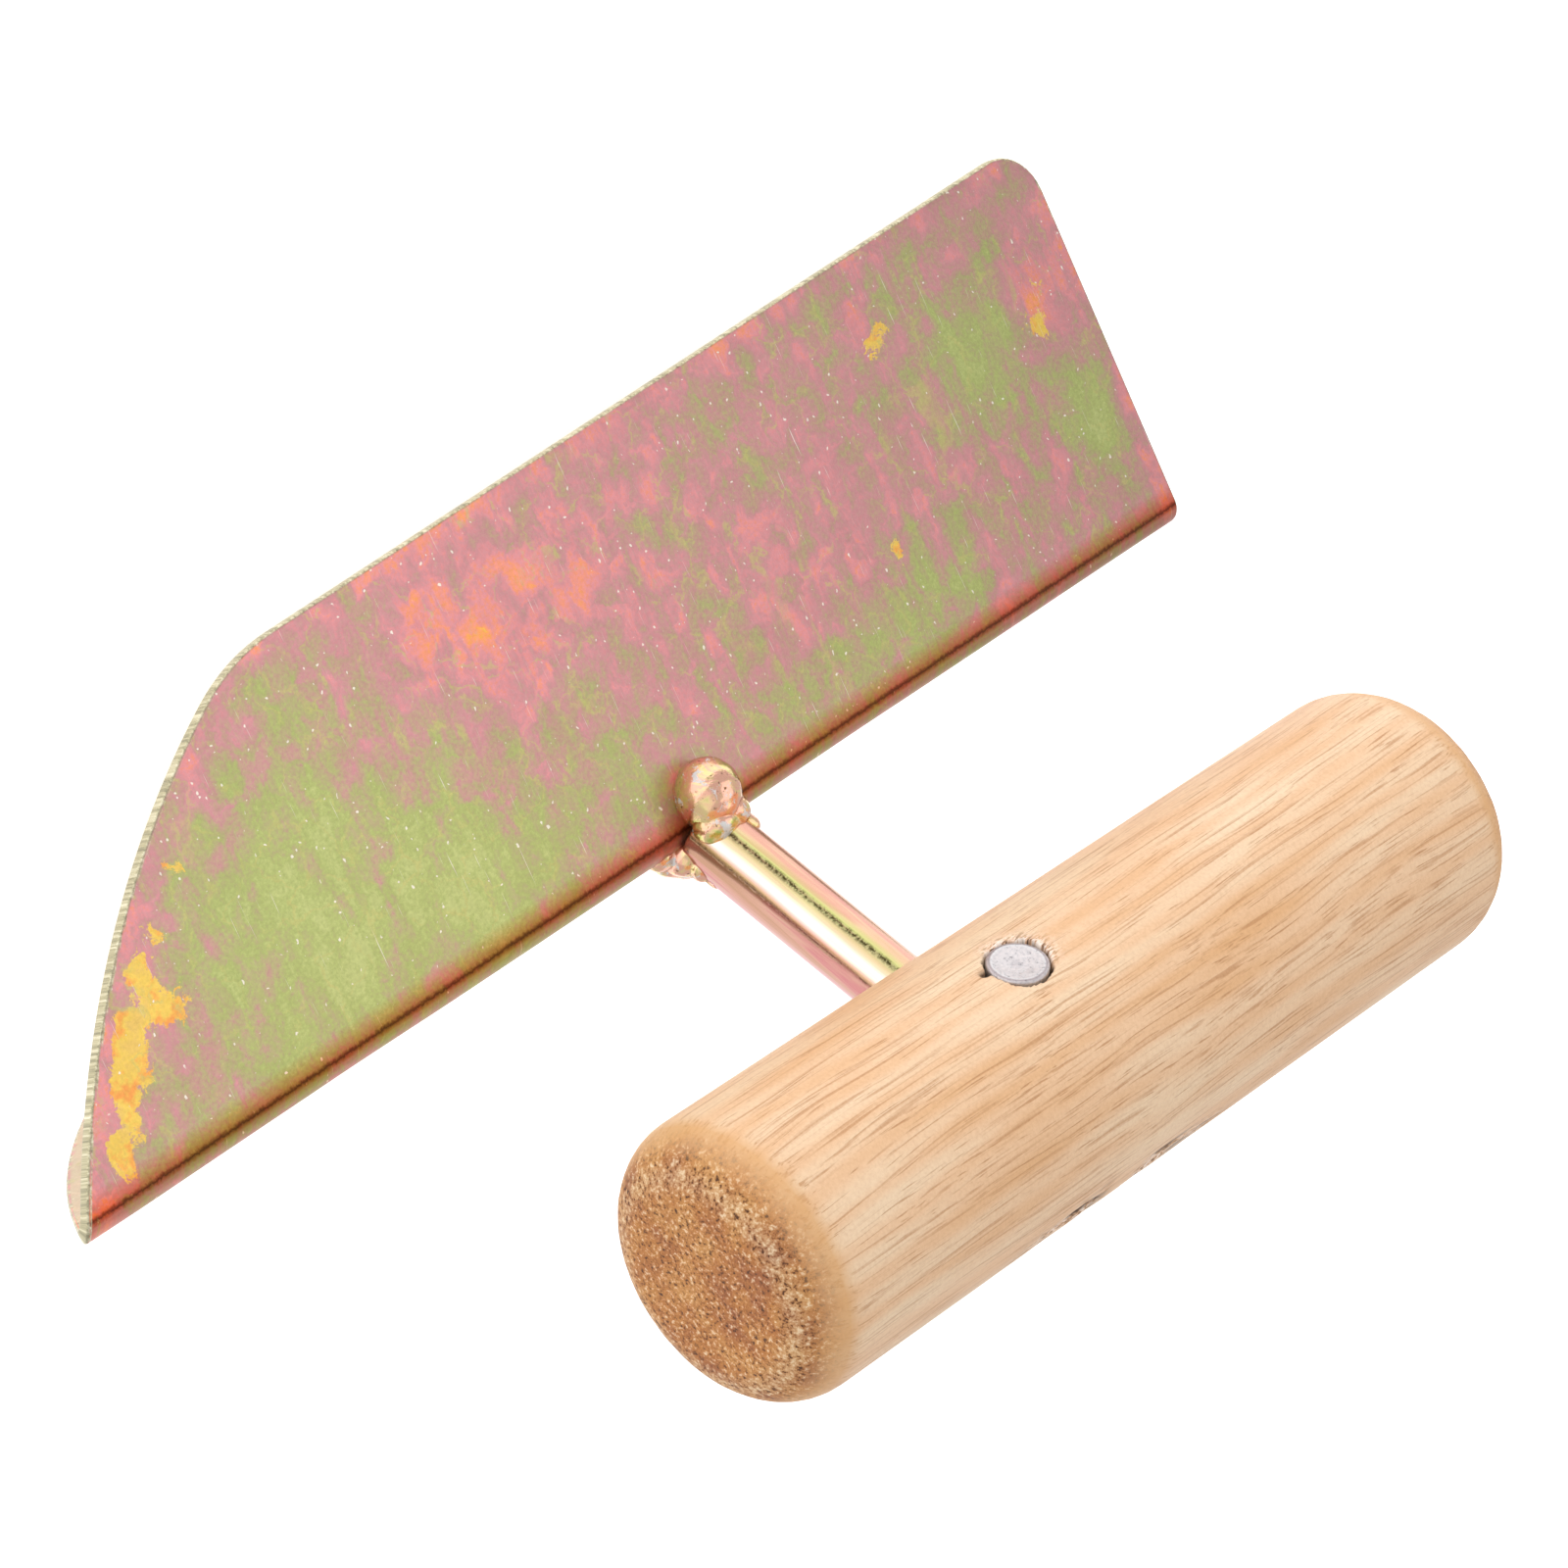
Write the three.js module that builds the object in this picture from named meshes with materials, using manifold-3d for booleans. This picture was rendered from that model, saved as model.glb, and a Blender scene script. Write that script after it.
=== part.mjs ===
// Hand tool with a folded V blade: one bent sheet-steel blade with a pointed nose, a round bar
// welded upright on its fold, and a wooden cross handle bored for the bar and held by a cross pin.
//
// Millimetres, +Z up. X runs along the fold towards the pointed nose, the V opens downward and
// the blade stands on the free edges of its two wings. The origin is the bottom centre of the box.

import * as THREE from 'three';
import { mergeVertices } from 'three/addons/utils/BufferGeometryUtils.js';
import Module from 'manifold-3d';

const wasm = await Module();
wasm.setup();

// ---- driving dimensions -------------------------------------------------------------------

const DEG = Math.PI / 180;

// blade: a sheet folded along X; x is measured from the bar, s down a wing from the bend
const SHEET = 1.5;                 // sheet thickness
const HALF_ANGLE = 41.9 * DEG;     // each wing's angle from the vertical
const BEND_RADIUS = 2.5;           // outside radius of the fold
const HEEL = -83.7;                // square-cut back end
const NOSE = 90.8;                 // where the nose starts on the wing, at the bend
const WING = 42.7;                 // wing width beside the bar
const WING_TAPER = 0.0375;         // width lost per unit of length towards the nose
const HEEL_CORNER = 6;             // rounding of the back corners
const NOSE_SWEEP = 100;            // radius of the curved nose edge
const NOSE_START = 119.7 * DEG;    // direction of the nose edge where it leaves the bend
const SHOULDER = 25;               // rounding between nose edge and free edge
const BEND_STEPS = 10;

// bar, welds and handle
const BAR = 4.0;                   // bar radius
const FIT = 0.3;                   // clearance between neighbouring pieces
const HANDLE = 16;                 // handle radius
const HANDLE_LENGTH = 116.5;
const HANDLE_ROUND = 7.1;          // rounding of the handle's ends
const HANDLE_SHIFT = -11.4;        // handle centre, measured from the bar
const HANDLE_RISE = 44.35;         // handle axis above the fold at the bar
const HANDLE_TILT = 2 * DEG;       // nose-side end leans towards the blade
const BAR_PAST_AXIS = 12.5;        // the bar ends in the wood above the handle's axis
const PIN = 2.0;                   // cross pin shank radius
const PIN_HEAD = 3.4;
const PIN_HEAD_DEPTH = 2.4;
const PIN_TILT = 13 * DEG;         // the pin's head leans towards the blade
const PIN_PAST_AXIS = 9;           // the shank ends in the wood beyond the bar
const SEGMENTS = 64;

// ---- helpers ------------------------------------------------------------------------------

const sinA = Math.sin(HALF_ANGLE);
const cosA = Math.cos(HALF_ANGLE);

// A closed geometry from a list of triangles, each three points.
function fromTriangles(triangles) {
  const geometry = new THREE.BufferGeometry();
  const flat = triangles.flat().flatMap((p) => [p.x, p.y, p.z]);
  geometry.setAttribute('position', new THREE.Float32BufferAttribute(flat, 3));
  return mergeVertices(geometry, 1e-4);
}

function toManifold(geometry) {
  const bare = geometry.clone();
  bare.deleteAttribute('normal');
  bare.deleteAttribute('uv');
  const merged = mergeVertices(bare, 1e-4);
  return new wasm.Manifold(new wasm.Mesh({
    numProp: 3,
    vertProperties: new Float32Array(merged.attributes.position.array),
    triVerts: new Uint32Array(merged.index.array),
  }));
}

function fromManifold(solid) {
  const { numProp, vertProperties, triVerts } = solid.getMesh();
  const positions = new Float32Array((vertProperties.length / numProp) * 3);
  for (let i = 0; i < positions.length / 3; i++) {
    positions.set(vertProperties.subarray(i * numProp, i * numProp + 3), i * 3);
  }
  const geometry = new THREE.BufferGeometry();
  geometry.setAttribute('position', new THREE.BufferAttribute(positions, 3));
  geometry.setIndex(new THREE.BufferAttribute(new Uint32Array(triVerts), 1));
  return geometry;
}

// A round bar of one radius between two heights on its own axis, which is +Z before it is placed.
function roundBar(radius, from, to) {
  const bar = new THREE.CylinderGeometry(radius, radius, to - from, SEGMENTS);
  return bar.rotateX(Math.PI / 2).translate(0, 0, (from + to) / 2);
}

// An ellipsoid with its half-lengths along X, Y and Z.
function ellipsoid(halfLengths, centre) {
  return new THREE.SphereGeometry(1, 32, 20).scale(...halfLengths).translate(...centre);
}

// ---- blade --------------------------------------------------------------------------------

// Free edge of a wing: its distance s from the bend at a place x along the fold.
const freeEdge = (x) => WING - WING_TAPER * x;

// Points on an arc given by its centre, radius and two angles in the (x, s) plane.
function arc(cx, cs, radius, from, to, steps) {
  return Array.from({ length: steps + 1 }, (_, i) => {
    const angle = from + ((to - from) * i) / steps;
    return new THREE.Vector2(cx + radius * Math.cos(angle), cs + radius * Math.sin(angle));
  });
}

// Outline of one wing in (x, s), from the heel at the bend round to the nose at the bend.
function wingOutline() {
  const slope = Math.atan(WING_TAPER);

  // nose edge: an arc whose tangent at (NOSE, 0) is NOSE_START
  const noseAngle = NOSE_START - Math.PI / 2;
  const nose = new THREE.Vector2(
    NOSE - NOSE_SWEEP * Math.cos(noseAngle), -NOSE_SWEEP * Math.sin(noseAngle));

  // shoulder: inside the nose arc and under the free edge, tangent to both; its centre lies on
  // the free edge moved in by the shoulder radius, at NOSE_SWEEP - SHOULDER from the nose centre
  const inward = (x) => freeEdge(x) - SHOULDER / Math.cos(slope);
  let low = 0;
  let high = NOSE;
  for (let i = 0; i < 60; i++) {
    const x = (low + high) / 2;
    const away = Math.hypot(x - nose.x, inward(x) - nose.y);
    if (away < NOSE_SWEEP - SHOULDER) low = x; else high = x;
  }
  const shoulder = new THREE.Vector2(low, inward(low));
  const shoulderEnd = Math.PI / 2 - slope;
  const tangency = Math.atan2(shoulder.y - nose.y, shoulder.x - nose.x);

  // heel corner: tangent to the square back end and to the free edge
  const cornerX = HEEL + HEEL_CORNER;
  const cornerS = freeEdge(cornerX) - HEEL_CORNER / Math.cos(slope);
  return [
    new THREE.Vector2(HEEL, 0),
    ...arc(cornerX, cornerS, HEEL_CORNER, Math.PI, shoulderEnd, 8),
    ...arc(shoulder.x, shoulder.y, SHOULDER, shoulderEnd, tangency, 8),
    ...arc(nose.x, nose.y, NOSE_SWEEP, tangency, noseAngle, 24).slice(1),
  ];
}

// A point on the outer or inner face of a wing; side is +1 or -1 across the fold.
function wingPoint(side, x, s, radius) {
  const y = side * (radius * cosA + s * sinA);
  return new THREE.Vector3(x, y, -BEND_RADIUS + radius * sinA - s * cosA);
}

// A point of the bend, at an angle from its top.
function bendPoint(x, angle, radius) {
  return new THREE.Vector3(x, radius * Math.sin(angle), -BEND_RADIUS + radius * Math.cos(angle));
}

function blade() {
  const outline = wingOutline();
  const inner = BEND_RADIUS - SHEET;
  const half = Math.PI / 2 - HALF_ANGLE;
  const bendX = (angle) => {
    const rise = BEND_RADIUS * (half - Math.abs(angle));
    return NOSE + rise / Math.tan(Math.PI - NOSE_START);
  };
  const angles = Array.from({ length: BEND_STEPS + 1 }, (_, i) => half - (2 * half * i) / BEND_STEPS);

  // one face of the sheet: two flat wings and the strips of the bend
  const face = (radius) => {
    const triangles = [];
    for (const side of [1, -1]) {
      for (const [a, b, c] of THREE.ShapeUtils.triangulateShape(outline, [])) {
        const corners = [a, b, c].map((i) => wingPoint(side, outline[i].x, outline[i].y, radius));
        triangles.push(side > 0 ? corners : corners.reverse());
      }
    }
    for (let i = 0; i < BEND_STEPS; i++) {
      const [a, b] = [angles[i], angles[i + 1]];
      const quad = [bendPoint(HEEL, a, radius), bendPoint(bendX(a), a, radius),
        bendPoint(bendX(b), b, radius), bendPoint(HEEL, b, radius)];
      triangles.push([quad[0], quad[2], quad[1]], [quad[0], quad[3], quad[2]]);
    }
    return triangles;
  };

  // the rim: once round the edge of the sheet, outer and inner point side by side
  const rim = (radius) => [
    ...outline.map((p) => wingPoint(1, p.x, p.y, radius)),
    ...angles.slice(1, -1).map((a) => bendPoint(bendX(a), a, radius)),
    ...outline.map((p) => wingPoint(-1, p.x, p.y, radius)).reverse(),
    ...angles.slice(1, -1).reverse().map((a) => bendPoint(HEEL, a, radius)),
  ];
  const [outerRim, innerRim] = [rim(BEND_RADIUS), rim(inner)];
  const walls = outerRim.flatMap((p, i) => {
    const next = (i + 1) % outerRim.length;
    return [[p, outerRim[next], innerRim[next]], [p, innerRim[next], innerRim[i]]];
  });

  const outer = face(BEND_RADIUS);
  const under = face(inner).map((corners) => corners.reverse());
  return fromTriangles([...outer, ...under, ...walls]);
}

// ---- handle, bar, pin and welds -----------------------------------------------------------

const handlePlace = new THREE.Matrix4()
  .makeTranslation(HANDLE_SHIFT * Math.cos(HANDLE_TILT), 0,
    HANDLE_RISE - HANDLE_SHIFT * Math.sin(HANDLE_TILT))
  .multiply(new THREE.Matrix4().makeRotationY(Math.PI / 2 + HANDLE_TILT));

const pinPlace = new THREE.Matrix4()
  .makeTranslation(0, 0, HANDLE_RISE)
  .multiply(new THREE.Matrix4().makeRotationX(Math.PI / 2 + PIN_TILT));

// Turned handle along its own +Z: a cylinder with quarter-round ends and flat end faces.
function handleBlank() {
  const end = HANDLE_LENGTH / 2;
  const quarter = Array.from({ length: 9 }, (_, i) => {
    const angle = (Math.PI / 2) * (1 - i / 8);
    return new THREE.Vector2(
      HANDLE - HANDLE_ROUND + HANDLE_ROUND * Math.cos(angle),
      end - HANDLE_ROUND + HANDLE_ROUND * Math.sin(angle));
  });
  const lower = quarter.map((p) => new THREE.Vector2(p.x, -p.y));
  const profile = [new THREE.Vector2(0, -end), ...lower, ...quarter.reverse(), new THREE.Vector2(0, end)];
  return new THREE.LatheGeometry(profile, SEGMENTS).rotateX(Math.PI / 2).applyMatrix4(handlePlace);
}

const headSeat = HANDLE - PIN_HEAD_DEPTH;

function handle() {
  const barBore = roundBar(BAR + FIT, 0, HANDLE_RISE + BAR_PAST_AXIS + FIT);
  const pinBore = roundBar(PIN + FIT, -PIN_PAST_AXIS - FIT, HANDLE + 5).applyMatrix4(pinPlace);
  const headBore = roundBar(PIN_HEAD + FIT, headSeat - FIT, HANDLE + 5).applyMatrix4(pinPlace);
  return fromManifold(toManifold(handleBlank())
    .subtract(toManifold(barBore))
    .subtract(toManifold(pinBore))
    .subtract(toManifold(headBore)));
}

function bar() {
  const pinHole = roundBar(PIN + FIT, -HANDLE, HANDLE).applyMatrix4(pinPlace);
  return fromManifold(toManifold(roundBar(BAR, FIT, HANDLE_RISE + BAR_PAST_AXIS))
    .subtract(toManifold(pinHole)));
}

function crossPin() {
  const shank = roundBar(PIN, -PIN_PAST_AXIS, headSeat + 0.5).applyMatrix4(pinPlace);
  const head = roundBar(PIN_HEAD, headSeat, HANDLE - 0.2).applyMatrix4(pinPlace);
  return fromManifold(toManifold(shank).add(toManifold(head)));
}

// Everything under the outer faces of the blade near the bar, grown by the clearance.
function underBlade() {
  const radius = BEND_RADIUS + FIT;
  const half = Math.PI / 2 - HALF_ANGLE;
  const bend = Array.from({ length: BEND_STEPS + 1 }, (_, i) => {
    const p = bendPoint(0, -half + (2 * half * i) / BEND_STEPS, radius);
    return new THREE.Vector2(p.y, p.z);
  });
  const [right, left] = [wingPoint(1, 0, 30, radius), wingPoint(-1, 0, 30, radius)];
  const section = new THREE.Shape([...bend,
    new THREE.Vector2(right.y, right.z), new THREE.Vector2(left.y, left.z)]);
  const prism = new THREE.ExtrudeGeometry(section, { depth: 40, bevelEnabled: false });
  const alongX = new THREE.Matrix4().makeBasis(
    new THREE.Vector3(0, 1, 0), new THREE.Vector3(0, 0, 1), new THREE.Vector3(1, 0, 0));
  return prism.applyMatrix4(alongX).translate(-20, 0, 0);
}

// A weld bead: a lump of metal in the corner between the bar and one wing.
function weld(halfLengths, centre) {
  return fromManifold(toManifold(ellipsoid(halfLengths, centre))
    .subtract(toManifold(roundBar(BAR + FIT, -20, 30)))
    .subtract(toManifold(underBlade())));
}

// ---- assembly -----------------------------------------------------------------------------

const plated = { color: 0xb9a77e, roughness: 0.34, metalness: 0.85 };
const finishes = {
  zinc_yellow: plated,
  zinc_weld: { ...plated, color: 0xc2b490, roughness: 0.28 },
  beech: { color: 0xe6bd88, roughness: 0.6, metalness: 0 },
  pin_steel: { color: 0xb4b6b8, roughness: 0.4, metalness: 0.9 },
};

const pieces = {
  blade: [blade(), 'zinc_yellow'],
  bar: [bar(), 'zinc_yellow'],
  weld_near: [weld([4.4, 4.2, 4.4], [-0.6, -5.0, -1.0]), 'zinc_weld'],
  weld_far: [weld([6.4, 3.6, 3.8], [1.4, 4.6, -1.4]), 'zinc_weld'],
  handle: [handle(), 'beech'],
  cross_pin: [crossPin(), 'pin_steel'],
};

// the box of the whole tool, whose bottom centre becomes the origin
const box = new THREE.Box3();
for (const [geometry] of Object.values(pieces)) {
  geometry.computeBoundingBox();
  box.union(geometry.boundingBox);
}
const middle = box.getCenter(new THREE.Vector3());

const tool = new THREE.Group();
tool.name = 'v_blade_hand_tool';
for (const [name, [geometry, finish]] of Object.entries(pieces)) {
  geometry.translate(-middle.x, -middle.y, -box.min.z);
  geometry.computeVertexNormals();
  const mesh = new THREE.Mesh(geometry, new THREE.MeshStandardMaterial(finishes[finish]));
  mesh.name = name;
  tool.add(mesh);
}

export default tool;
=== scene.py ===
"""V-bladed hand tool with a turned wooden cross handle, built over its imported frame.

Metres, +Z up. X runs along the blade's fold towards the pointed nose, the V opens downward.
"""

import math
from functools import partial

import bmesh
import bpy
import numpy as np
from bpy.props import FloatProperty, FloatVectorProperty, PointerProperty
from mathutils import Matrix, Vector


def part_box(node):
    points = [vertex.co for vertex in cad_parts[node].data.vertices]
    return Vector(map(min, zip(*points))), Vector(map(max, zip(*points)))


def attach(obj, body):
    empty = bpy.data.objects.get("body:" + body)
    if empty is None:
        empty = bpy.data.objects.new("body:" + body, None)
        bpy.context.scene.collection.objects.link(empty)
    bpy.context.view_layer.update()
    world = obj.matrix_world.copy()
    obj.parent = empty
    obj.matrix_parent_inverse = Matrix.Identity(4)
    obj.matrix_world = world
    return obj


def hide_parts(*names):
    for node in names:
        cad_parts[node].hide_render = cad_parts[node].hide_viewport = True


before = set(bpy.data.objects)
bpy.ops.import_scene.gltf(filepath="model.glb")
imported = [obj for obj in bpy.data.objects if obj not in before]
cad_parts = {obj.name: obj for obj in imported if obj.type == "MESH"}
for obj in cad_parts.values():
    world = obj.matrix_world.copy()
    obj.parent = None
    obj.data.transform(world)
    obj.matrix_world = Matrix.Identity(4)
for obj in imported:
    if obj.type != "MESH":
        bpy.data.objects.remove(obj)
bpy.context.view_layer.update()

bl_info = {
    "name": "V-bladed hand tool",
    "version": (1, 0, 0),
    "blender": (4, 5, 0),
    "location": "View3D > Sidebar > V tool",
    "description": "Folded steel blade on a welded bar with a turned wooden cross handle",
    "category": "Object",
}

MM = 0.001
TAU = 2 * math.pi

BLADE_LOW, BLADE_HIGH = (np.array(corner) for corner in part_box("blade"))
BAR_LOW, BAR_HIGH = (np.array(corner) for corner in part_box("bar"))
BAR_X = (BAR_LOW[0] + BAR_HIGH[0]) / 2
BAR_RADIUS = (BAR_HIGH[0] - BAR_LOW[0]) / 2
FOLD_Z = BLADE_HIGH[2]


# ---- colours, noise and meshes -------------------------------------------------------------


def linear(code):
    """Linear RGBA of an sRGB hex colour: c / 12.92 up to 0.04045, above it
    ((c + 0.055) / 1.055)^2.4."""
    part = [int(code[i:i + 2], 16) / 255 for i in (1, 3, 5)]
    return (*(c / 12.92 if c <= 0.04045 else ((c + 0.055) / 1.055) ** 2.4 for c in part), 1.0)


def colour(code, name, description):
    """A colour setting whose default is an sRGB hex value."""
    return FloatVectorProperty(name=name, description=description, subtype="COLOR", size=4,
                               min=0, max=1, default=linear(code))


def length(mm, name, description):
    """A length setting whose default is given in millimetres."""
    return FloatProperty(name=name, description=description, default=mm * MM, precision=5,
                         subtype="DISTANCE", unit="LENGTH")


def angle(degrees, name, description):
    """An angle setting whose default is given in degrees."""
    return FloatProperty(name=name, description=description, default=math.radians(degrees),
                         subtype="ANGLE", unit="ROTATION")


def ramp(low, high, value):
    """Smooth step: 0 below low, 1 above high, 3t^2 - 2t^3 between."""
    t = np.clip((value - low) / (high - low), 0, 1)
    return t * t * (3 - 2 * t)


def lumps(points, size, seed):
    """Soft noise from -1 to 1: random heights on a cubic lattice of that size, blended smoothly."""
    cell = np.asarray(points) / size
    low = np.floor(cell)
    part = cell - low
    part = part * part * (3 - 2 * part)
    total = 0
    for corner in np.ndindex(2, 2, 2):
        key = np.sin((low + corner) @ (127.1, 311.7, 74.7) + 17.3 * seed) * 43758.5453
        weight = np.prod(np.where(corner, part, 1 - part), axis=-1)
        total = total + weight * (key - np.floor(key))
    return 2 * total - 1


def stations(low, high, spacing):
    """Places from low to high whose gaps follow spacing(place): the running sum of 1 / spacing
    is cut into equal steps."""
    fine = np.linspace(low, high, 4001)
    middle = (fine[1:] + fine[:-1]) / 2
    count = np.concatenate([[0], np.cumsum(np.diff(fine) / spacing(middle))])
    return np.interp(np.linspace(0, count[-1], int(round(count[-1])) + 1), count, fine)


def piece(name, patches, material, node):
    """One closed piece from grids of points. Each patch is (points, marks), where points is
    rows x columns x 3 and marks are named arrays kept as vertex attributes."""
    corners, quads, marks, start = [], [], {}, 0
    for points, patch_marks in patches:
        rows, columns = points.shape[:2]
        index = start + np.arange(rows * columns).reshape(rows, columns)
        quads.append(np.stack([index[:-1, :-1], index[1:, :-1], index[1:, 1:], index[:-1, 1:]],
                              axis=-1).reshape(-1, 4))
        corners.append(points.reshape(-1, 3))
        for key, values in patch_marks.items():
            marks.setdefault(key, []).append(values.reshape(rows * columns, -1))
        start += rows * columns
    mesh = bpy.data.meshes.new(name)
    mesh.from_pydata(np.concatenate(corners), [], np.concatenate(quads))
    for key, values in marks.items():
        values = np.concatenate(values).astype(np.float32)
        kind, field = ("FLOAT_VECTOR", "vector") if values.shape[1] == 3 else ("FLOAT", "value")
        mesh.attributes.new(key, kind, "POINT").data.foreach_set(field, values.ravel())
    shell = bmesh.new()
    shell.from_mesh(mesh)
    bmesh.ops.remove_doubles(shell, verts=shell.verts, dist=1e-7)
    bmesh.ops.recalc_face_normals(shell, faces=shell.faces)
    shell.to_mesh(mesh)
    shell.free()
    mesh.shade_smooth()
    mesh.materials.append(material)
    made = bpy.data.objects.new(name, mesh)
    bpy.context.scene.collection.objects.link(made)
    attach(made, "root")
    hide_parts(node)
    return made


# Settings that every node of a kind takes, unless a call says otherwise.
USUAL = {"Mix": {"data_type": "RGBA"}}


def add_node(tree, kind, inputs=(), stops=(), **settings):
    """Adds one shader node. inputs maps a socket's name or number to a value, an sRGB hex colour,
    an output, or a node whose first output in use is meant; a tuple lists the inputs in order.
    stops are a colour ramp's (place, colour) pairs."""
    node = tree.nodes.new("ShaderNode" + kind)
    for key, value in {**USUAL.get(kind, {}), **settings}.items():
        setattr(node, key, value)
    for key, value in inputs.items() if isinstance(inputs, dict) else enumerate(inputs):
        if isinstance(value, bpy.types.Node):
            value = next(end for end in value.outputs if end.enabled)
        if isinstance(value, bpy.types.NodeSocket):
            tree.links.new(value, node.inputs[key])
        else:
            node.inputs[key].default_value = linear(value) if isinstance(value, str) else value
    if stops:
        band = node.color_ramp.elements
        while len(band) < len(stops):
            band.new(1.0)
        for element, (place, shade) in zip(band, stops):
            element.position = place
            element.color = linear(shade) if isinstance(shade, str) else shade
    return node


def new_material(name):
    """An empty node material, and the function that adds a node to it."""
    material = bpy.data.materials.new(name)
    material.use_nodes = True
    material.node_tree.nodes.clear()
    return material, partial(add_node, material.node_tree)


def object_mm(add):
    """The object's own coordinates in millimetres, for patterns that are sized in millimetres."""
    place = add("TexCoord")
    return add("Mapping", {"Vector": place.outputs["Object"], "Scale": (1000, 1000, 1000)})


# ---- blade ---------------------------------------------------------------------------------


class BladeSettings(bpy.types.PropertyGroup):
    """Sizes and colours of the folded blade."""

    sheet: length(1.5, "Sheet", "Thickness of the steel sheet")
    bend: length(2.5, "Bend", "Outside radius of the fold")
    half_angle: angle(41.9, "Half angle", "Angle of each wing from the vertical")
    wing: length(42.7, "Wing", "Width of a wing beside the bar, from the bend")
    taper: FloatProperty(name="Taper", default=0.0375,
                         description="Width a wing loses per unit of length towards the nose")
    nose: length(90.8, "Nose", "Distance from the bar to the start of the nose edge")
    sweep: length(100, "Nose sweep", "Radius of the curved nose edge")
    nose_start: angle(119.7, "Nose start", "Direction of the nose edge where it leaves the bend")
    shoulder: length(25, "Shoulder", "Rounding between the nose edge and the free edge")
    corner: length(6, "Heel corner", "Rounding of the corners at the heel")
    tip: length(2.4, "Tip", "Rounding of the point")
    edge: length(0.35, "Edge", "Rounding of the sheared edges")
    waves: length(0.07, "Waves", "Height of the long waves left in the sheet")
    yellow: colour("#EFCB62", "Yellow", "Thinnest chromate film")
    orange: colour("#F3A458", "Orange", "Thin chromate film")
    salmon: colour("#F0997C", "Salmon", "Film between orange and pink")
    pink: colour("#E29598", "Pink", "Middling film")
    mauve: colour("#CC9295", "Mauve", "Film between pink and olive")
    taupe: colour("#C19C8A", "Taupe", "Film where pink and green cancel out")
    olive: colour("#B6AC7E", "Olive", "Thick film")
    green: colour("#B0B972", "Green", "Thicker film")
    lime: colour("#C0C682", "Lime", "Thickest film")


# Where the chromate film is thinner or thicker: place along the fold from the bar, place across
# the wing from the fold, reach along and across, all in millimetres, and the shift of the film.
FILM_STAINS = (
    (50, 14, 32, 24, 0.24),      # broad green field behind the nose
    (28, 8, 26, 9, 0.16),
    (66, 30, 8, 14, 0.08),
    (14, 32, 15, 13, -0.19),     # pink and orange cloud in the middle
    (2, 36, 7, 10, -0.12),
    (26, 34, 6, 8, -0.14),
    (-64, 30, 8, 10, 0.30),      # green islands near the heel
    (-77, 17, 7, 8, 0.34),
    (-34, 6, 30, 6, 0.22),       # green along the fold behind the bar
    (-77, 32, 5, 8, -0.26),      # thin orange film at the heel
    (-49, 40, 4, 3, -0.30),
    (-53, 5, 3.5, 3.5, -0.16),
    (-20, 24, 26, 14, -0.05),
)
# The far wing's stains lie this much further towards the heel, in millimetres.
FAR_WING_SHIFT = 23
# A stain has faded out where its squared distance, measured in reaches, comes to this.
STAIN_END = 1.6
# Where the film is so thin that it turns gold, in flakes with sharp borders: a band inside the
# nose edge and small islands at the heel. Same units, with the share of the ground it covers.
GOLD_STAINS = (
    (84.2, 4.5, 1.9, 5, 0.70), (81.2, 9, 2.4, 5, 0.72), (77.6, 13.5, 3.2, 5, 0.80),
    (73.5, 18, 3.4, 5, 0.72), (69.5, 22, 3.2, 4, 0.45), (70.5, 14.5, 4.5, 3, 0.42),
    (64, 28, 4, 4, 0.35), (-50, 36, 5.5, 3, 0.50), (-75, 30, 4.5, 6, 0.50), (-41, 14, 2, 3, 0.52),
)


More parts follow.
